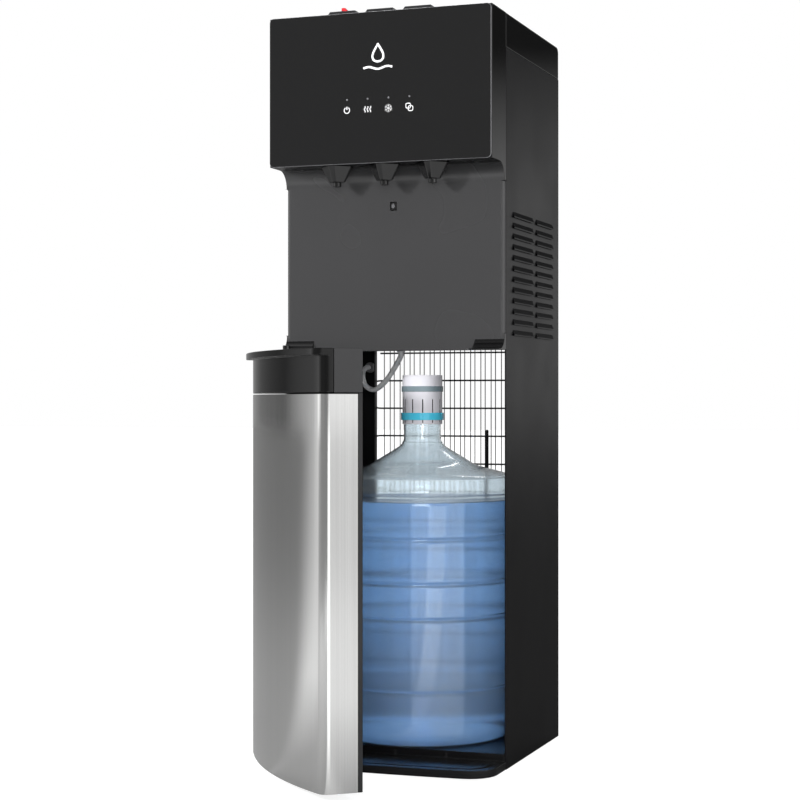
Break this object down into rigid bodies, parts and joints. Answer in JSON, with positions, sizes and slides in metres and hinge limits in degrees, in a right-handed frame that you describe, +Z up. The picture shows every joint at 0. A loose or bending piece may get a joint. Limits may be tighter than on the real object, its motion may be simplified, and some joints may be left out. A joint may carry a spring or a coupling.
{
  "type": "bottom-loading water dispenser",
  "caption": "Floor-standing bottom-loading water dispenser with its bowed steel door open on a bottle, gloss head with spouts over an alcove, and a wire condenser at the back.",
  "frame": {"origin": "on the floor, under the middle of the cabinet's side panels", "axes": "+Z up, -Y to the front where the door opens, +X to the viewer's right"},
  "size_m": [0.3645, 0.572, 1.052],
  "materials": {
    "gloss_black": "glossy",
    "display_gloss": "glossy, light bevelled edge",
    "satin_dark": "satin, fine grain",
    "base_black": "glossy",
    "coated_steel": "satin powder coat",
    "liner_black": "matt",
    "condenser_black": "semi-gloss enamel",
    "brushed_steel": "vertical brushed grain",
    "band_black": "glossy",
    "band_satin": "satin",
    "grille_black": "satin",
    "spout_black": "satin gloss",
    "button_black": "satin gloss",
    "lock_red": "glossy",
    "switch_green": "glossy",
    "clear_lens": "frosted",
    "silicone": "soft, translucent",
    "white_plastic": "smooth",
    "grey_plastic": "smooth",
    "steel_zinc": "zinc plated",
    "steel_pin": "polished",
    "copper": "drawn tube",
    "foam_white": "expanded foam",
    "tank_steel": "stainless",
    "mica_brown": "wound band",
    "board_green": "lacquered",
    "rubber_black": "matt",
    "magnet_dark": "sintered",
    "bottle_blue": "clear tinted polycarbonate",
    "water_blue": "clear water",
    "compressor_black": "enamel"
  },
  "bodies": {
    "cabinet": {"base_pan": "base_black", "base_feet": "rubber_black", "side_panel_left": "coated_steel", "side_panel_right": "coated_steel", "bay_liner_left": "liner_black", "bay_liner_right": "liner_black", "bay_ceiling": "steel_zinc", "front_fascia": "satin_dark", "display_panel": "display_gloss", "indicator_lenses": "clear_lens", "night_light_lens": "clear_lens", "top_cover": "gloss_black", "rear_cover": "coated_steel", "cover_screws": "steel_zinc", "condenser_tube": "condenser_black", "condenser_wires": "condenser_black", "condenser_brackets": "coated_steel", "spout_hot": "spout_black", "spout_room": "spout_black", "spout_cold": "spout_black", "outlet_tubes": "silicone", "solenoid_valves": "white_plastic", "compressor": "compressor_black", "compressor_grommets": "rubber_black", "discharge_line": "condenser_black", "filter_drier": "copper", "tank_shelf": "steel_zinc", "cold_tank": "tank_steel", "evaporator_coil": "copper", "cold_tank_foam": "foam_white", "hot_tank": "tank_steel", "heater_band": "mica_brown", "water_pump": "white_plastic", "control_board": "board_green", "button_switches": "grey_plastic", "switch_plate": "band_satin", "cord_gland": "rubber_black", "hose_fitting_top": "white_plastic", "hose_fitting_rear": "grey_plastic", "supply_hose": "silicone", "hinge_pin_top": "steel_pin", "hinge_pin_bottom": "steel_pin", "door_catch": "steel_zinc"},
    "door": {"door_skin": "brushed_steel", "door_liner": "liner_black", "door_band": "band_satin", "door_magnet": "magnet_dark"},
    "drip_tray": {"drip_tray": "band_black"},
    "drip_grille": {"drip_grille": "grille_black"},
    "button_hot": {"button_hot": "button_black"},
    "button_room": {"button_room": "button_black"},
    "button_cold": {"button_cold": "button_black"},
    "child_lock": {"child_lock": "lock_red"},
    "rocker_heat": {"rocker_heat": "lock_red"},
    "rocker_cool": {"rocker_cool": "switch_green"},
    "rocker_light": {"rocker_light": "button_black"},
    "drain_cap": {"drain_cap": "grey_plastic"},
    "bottle": {"water_bottle": "bottle_blue", "bottle_water": "water_blue", "bottle_cap": "white_plastic"}
  },
  "joints": [
    {"name": "door_hinge", "type": "hinge", "parent": "cabinet", "child": "door", "pos_m": [-0.1565, -0.158, 0.3], "axis": [0, 0, -1], "range_deg": [-50, 56]},
    {"name": "drip_tray_slide", "type": "slide", "parent": "door", "child": "drip_tray", "axis": [-0.766, -0.6428, 0], "range_m": [0, 0.07]},
    {"name": "drip_grille_lift", "type": "slide", "parent": "drip_tray", "child": "drip_grille", "axis": [0, 0, 1], "range_m": [0, 0.03]},
    {"name": "button_hot_press", "type": "slide", "parent": "cabinet", "child": "button_hot", "axis": [0, 0, -1], "range_m": [0, 0.004], "stiffness_N_per_m": 700, "springref_m": -0.0015},
    {"name": "button_room_press", "type": "slide", "parent": "cabinet", "child": "button_room", "axis": [0, 0, -1], "range_m": [0, 0.004], "stiffness_N_per_m": 700, "springref_m": -0.0015},
    {"name": "button_cold_press", "type": "slide", "parent": "cabinet", "child": "button_cold", "axis": [0, 0, -1], "range_m": [0, 0.004], "stiffness_N_per_m": 700, "springref_m": -0.0015},
    {"name": "child_lock_slide", "type": "slide", "parent": "button_hot", "child": "child_lock", "axis": [0, 1, 0], "range_m": [0, 0.005]},
    {"name": "rocker_heat_tilt", "type": "hinge", "parent": "cabinet", "child": "rocker_heat", "pos_m": [-0.1, 0.1225, 0.942], "axis": [1, 0, 0], "range_deg": [0, 16]},
    {"name": "rocker_cool_tilt", "type": "hinge", "parent": "cabinet", "child": "rocker_cool", "pos_m": [-0.08, 0.1225, 0.942], "axis": [1, 0, 0], "range_deg": [0, 16]},
    {"name": "rocker_light_tilt", "type": "hinge", "parent": "cabinet", "child": "rocker_light", "pos_m": [-0.06, 0.1225, 0.942], "axis": [1, 0, 0], "range_deg": [0, 16]},
    {"name": "drain_cap_pull", "type": "slide", "parent": "cabinet", "child": "drain_cap", "axis": [0, 1, 0], "range_m": [0, 0.012]},
    {"name": "bottle_slide", "type": "slide", "parent": "cabinet", "child": "bottle", "axis": [0, -1, 0], "range_m": [0, 0.105]}
  ]
}
